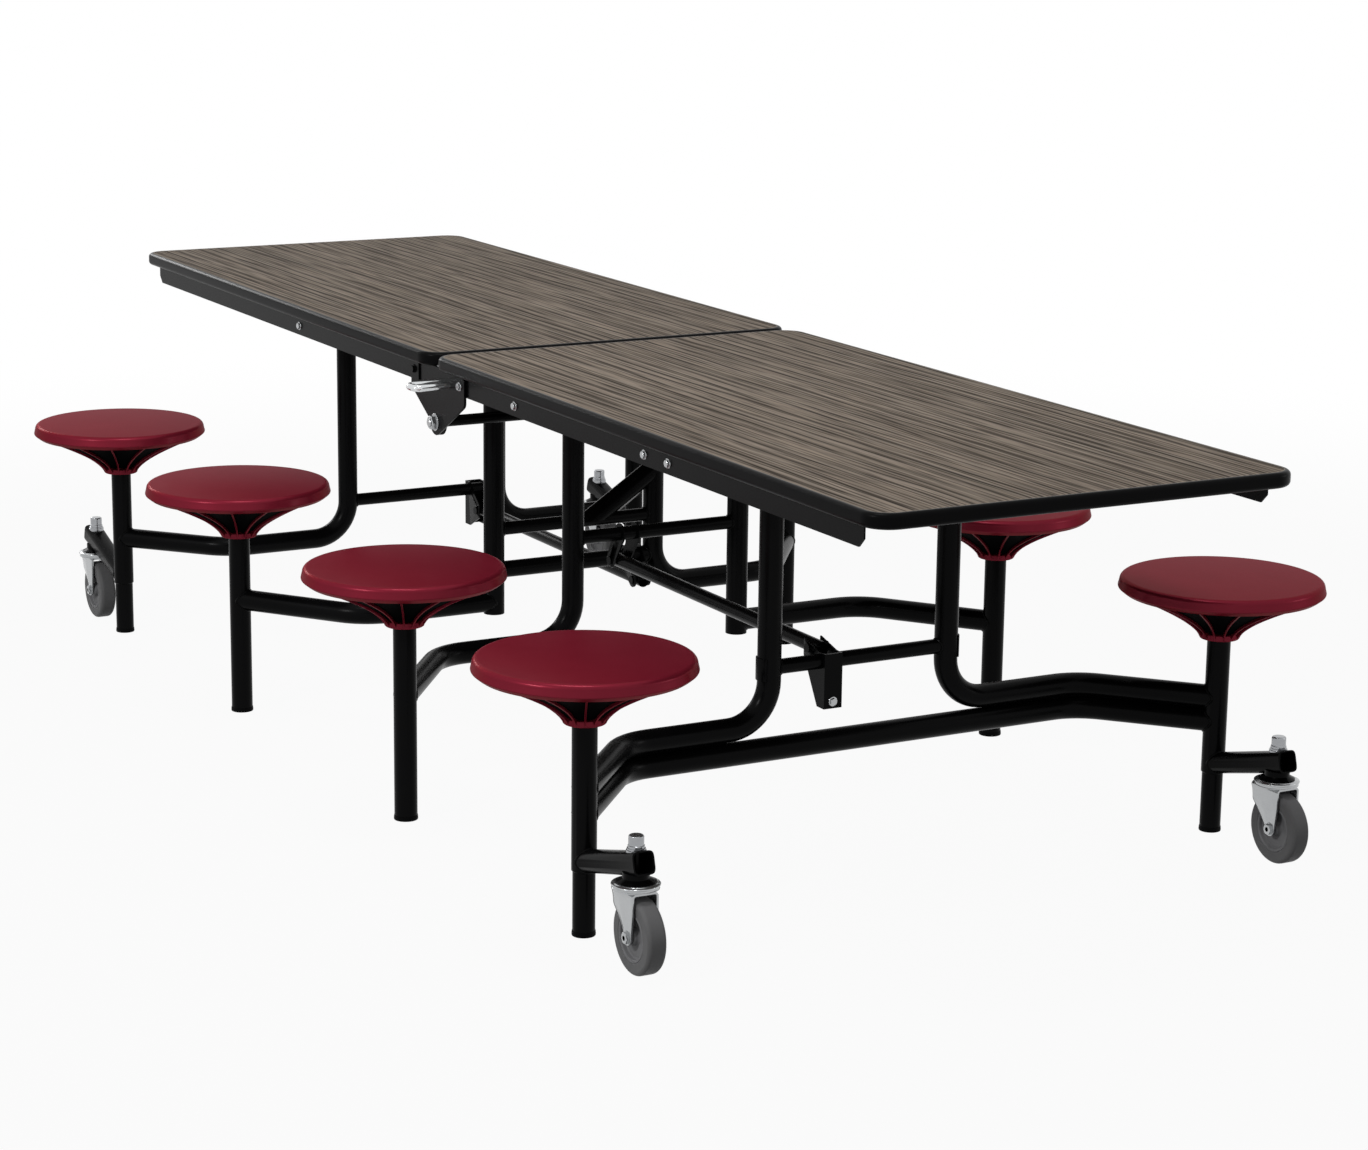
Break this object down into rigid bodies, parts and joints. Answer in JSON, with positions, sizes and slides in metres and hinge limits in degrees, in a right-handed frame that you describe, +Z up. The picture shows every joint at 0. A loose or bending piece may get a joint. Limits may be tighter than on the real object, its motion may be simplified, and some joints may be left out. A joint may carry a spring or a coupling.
{
  "type": "table with attached swivel seats",
  "caption": "Folding dining table with a hinged wood-grain top, round swivel seats on posts joined to its tubular leg frames, and casters for rolling it away.",
  "frame": {"origin": "on the floor under the middle of the table", "axes": "+X along the table towards the near end, +Y across it, +Z up"},
  "size_m": [3.073, 1.558, 0.737],
  "materials": {
    "woodgrain_laminate": "matte wood-grain laminate",
    "board_core": "particle board",
    "edge_band": "satin black",
    "black_steel": "satin black powder coat",
    "black_plastic": "matte black",
    "zinc_steel": "bright zinc plate",
    "chrome": "polished",
    "wheel_rubber": "dark grey rubber",
    "hub_plastic": "dark grey moulded hub",
    "seat_plastic": "satin burgundy moulding"
  },
  "bodies": {
    "near_end_frame": {"near_end_legs": "black_steel", "near_end_crossbar": "black_steel", "near_end_posts": "black_steel", "near_end_foot_caps": "black_plastic", "near_caster_stems": "zinc_steel", "near_end_bow": "black_steel"},
    "near_centre_frame": {"near_centre_legs": "black_steel", "near_centre_crossbar": "black_steel", "near_inner_posts": "black_steel", "near_inner_foot_caps": "black_plastic"},
    "near_top": {"near_top_board": "board_core", "near_top_laminate": "woodgrain_laminate", "near_edge_band": "edge_band", "near_side_rails": "black_steel", "near_hinge_plates": "black_steel", "near_leg_pivots": "black_steel", "near_rail_screws": "zinc_steel", "near_hinge_shaft": "zinc_steel", "near_handle_guide": "black_plastic"},
    "near_tie_bar": {"near_tie_bar": "black_steel"},
    "far_end_frame": {"far_end_legs": "black_steel", "far_end_crossbar": "black_steel", "far_end_posts": "black_steel", "far_end_foot_caps": "black_plastic", "far_caster_stems": "zinc_steel"},
    "far_centre_frame": {"far_centre_legs": "black_steel", "far_centre_crossbar": "black_steel", "far_inner_posts": "black_steel", "far_inner_foot_caps": "black_plastic", "far_centre_stretcher": "black_steel"},
    "far_top": {"far_top_board": "board_core", "far_top_laminate": "woodgrain_laminate", "far_edge_band": "edge_band", "far_side_rails": "black_steel", "far_hinge_plates": "black_steel", "far_leg_pivots": "black_steel", "far_rail_screws": "zinc_steel"},
    "far_tie_bar": {"far_tie_bar": "black_steel"},
    "release_handle": {"release_handle": "chrome"},
    "caster_near_front_fork": {"caster_near_front_fork": "zinc_steel"},
    "caster_near_front_wheel": {"caster_near_front_tyre": "wheel_rubber", "caster_near_front_hub": "hub_plastic"},
    "seat_near_end_front": {"seat_near_end_front": "seat_plastic"},
    "seat_near_inner_front": {"seat_near_inner_front": "seat_plastic"},
    "caster_near_back_fork": {"caster_near_back_fork": "zinc_steel"},
    "caster_near_back_wheel": {"caster_near_back_tyre": "wheel_rubber", "caster_near_back_hub": "hub_plastic"},
    "seat_near_end_back": {"seat_near_end_back": "seat_plastic"},
    "seat_near_inner_back": {"seat_near_inner_back": "seat_plastic"},
    "caster_far_front_fork": {"caster_far_front_fork": "zinc_steel"},
    "caster_far_front_wheel": {"caster_far_front_tyre": "wheel_rubber", "caster_far_front_hub": "hub_plastic"},
    "seat_far_end_front": {"seat_far_end_front": "seat_plastic"},
    "seat_far_inner_front": {"seat_far_inner_front": "seat_plastic"},
    "caster_far_back_fork": {"caster_far_back_fork": "zinc_steel"},
    "caster_far_back_wheel": {"caster_far_back_tyre": "wheel_rubber", "caster_far_back_hub": "hub_plastic"},
    "seat_far_end_back": {"seat_far_end_back": "seat_plastic"},
    "seat_far_inner_back": {"seat_far_inner_back": "seat_plastic"}
  },
  "joints": [
    {"name": "fold", "type": "hinge", "parent": "far_end_frame", "child": "far_top", "pos_m": [-0.885, 0, 0.684], "axis": [0, -1, 0], "range_deg": [0, 85]},
    {"name": "far_centre_leg_pivot", "type": "hinge", "parent": "far_top", "child": "far_centre_frame", "pos_m": [-0.168, 0, 0.684], "axis": [0, 1, 0], "range_deg": [0, 85]},
    {"name": "centre_hinge", "type": "hinge", "parent": "far_top", "child": "near_top", "pos_m": [0, 0, 0.612], "axis": [0, 1, 0], "range_deg": [0, 170]},
    {"name": "near_centre_leg_pivot", "type": "hinge", "parent": "near_top", "child": "near_centre_frame", "pos_m": [0.168, 0, 0.684], "axis": [0, -1, 0], "range_deg": [0, 85]},
    {"name": "near_end_leg_pivot", "type": "hinge", "parent": "near_top", "child": "near_end_frame", "pos_m": [0.885, 0, 0.684], "axis": [0, -1, 0], "range_deg": [0, 85]},
    {"name": "near_tie_pivot", "type": "hinge", "parent": "near_end_frame", "child": "near_tie_bar", "pos_m": [0.849, -0.06, 0.352], "axis": [0, 1, 0], "range_deg": [0, 85]},
    {"name": "far_tie_pivot", "type": "hinge", "parent": "far_end_frame", "child": "far_tie_bar", "pos_m": [-0.849, 0.125, 0.24], "axis": [0, -1, 0], "range_deg": [0, 85]},
    {"name": "handle_pull", "type": "slide", "parent": "near_top", "child": "release_handle", "axis": [0, -1, 0], "range_m": [0, 0.018], "stiffness_N_per_m": 600},
    {"name": "caster_near_front_swivel", "type": "hinge", "parent": "near_end_frame", "child": "caster_near_front_fork", "pos_m": [1.242, -0.604, 0.12], "axis": [0, 0, 1], "continuous": true},
    {"name": "caster_near_front_spin", "type": "hinge", "parent": "caster_near_front_fork", "child": "caster_near_front_wheel", "pos_m": [1.256, -0.604, 0.06], "axis": [0, 1, 0], "continuous": true},
    {"name": "seat_near_end_front_swivel", "type": "hinge", "parent": "near_end_frame", "child": "seat_near_end_front", "pos_m": [1.07, -0.604, 0.4], "axis": [0, 0, 1], "continuous": true},
    {"name": "seat_near_inner_front_swivel", "type": "hinge", "parent": "near_centre_frame", "child": "seat_near_inner_front", "pos_m": [0.39, -0.604, 0.4], "axis": [0, 0, 1], "continuous": true},
    {"name": "caster_near_back_swivel", "type": "hinge", "parent": "near_end_frame", "child": "caster_near_back_fork", "pos_m": [1.242, 0.604, 0.12], "axis": [0, 0, 1], "continuous": true},
    {"name": "caster_near_back_spin", "type": "hinge", "parent": "caster_near_back_fork", "child": "caster_near_back_wheel", "pos_m": [1.256, 0.604, 0.06], "axis": [0, 1, 0], "continuous": true},
    {"name": "seat_near_end_back_swivel", "type": "hinge", "parent": "near_end_frame", "child": "seat_near_end_back", "pos_m": [1.07, 0.604, 0.4], "axis": [0, 0, 1], "continuous": true},
    {"name": "seat_near_inner_back_swivel", "type": "hinge", "parent": "near_centre_frame", "child": "seat_near_inner_back", "pos_m": [0.39, 0.604, 0.4], "axis": [0, 0, 1], "continuous": true},
    {"name": "caster_far_front_swivel", "type": "hinge", "parent": "far_end_frame", "child": "caster_far_front_fork", "pos_m": [-1.242, -0.604, 0.12], "axis": [0, 0, 1], "continuous": true},
    {"name": "caster_far_front_spin", "type": "hinge", "parent": "caster_far_front_fork", "child": "caster_far_front_wheel", "pos_m": [-1.228, -0.604, 0.06], "axis": [0, 1, 0], "continuous": true},
    {"name": "seat_far_end_front_swivel", "type": "hinge", "parent": "far_end_frame", "child": "seat_far_end_front", "pos_m": [-1.07, -0.604, 0.4], "axis": [0, 0, 1], "continuous": true},
    {"name": "seat_far_inner_front_swivel", "type": "hinge", "parent": "far_centre_frame", "child": "seat_far_inner_front", "pos_m": [-0.39, -0.604, 0.4], "axis": [0, 0, 1], "continuous": true},
    {"name": "caster_far_back_swivel", "type": "hinge", "parent": "far_end_frame", "child": "caster_far_back_fork", "pos_m": [-1.242, 0.604, 0.12], "axis": [0, 0, 1], "continuous": true},
    {"name": "caster_far_back_spin", "type": "hinge", "parent": "caster_far_back_fork", "child": "caster_far_back_wheel", "pos_m": [-1.228, 0.604, 0.06], "axis": [0, 1, 0], "continuous": true},
    {"name": "seat_far_end_back_swivel", "type": "hinge", "parent": "far_end_frame", "child": "seat_far_end_back", "pos_m": [-1.07, 0.604, 0.4], "axis": [0, 0, 1], "continuous": true},
    {"name": "seat_far_inner_back_swivel", "type": "hinge", "parent": "far_centre_frame", "child": "seat_far_inner_back", "pos_m": [-0.39, 0.604, 0.4], "axis": [0, 0, 1], "continuous": true}
  ],
  "couplings": [
    {"joint": "far_centre_leg_pivot", "follows": "fold", "ratio": 1},
    {"joint": "centre_hinge", "follows": "fold", "ratio": 2},
    {"joint": "near_centre_leg_pivot", "follows": "fold", "ratio": 1},
    {"joint": "near_end_leg_pivot", "follows": "fold", "ratio": 1},
    {"joint": "near_tie_pivot", "follows": "fold", "ratio": 1},
    {"joint": "far_tie_pivot", "follows": "fold", "ratio": 1}
  ]
}
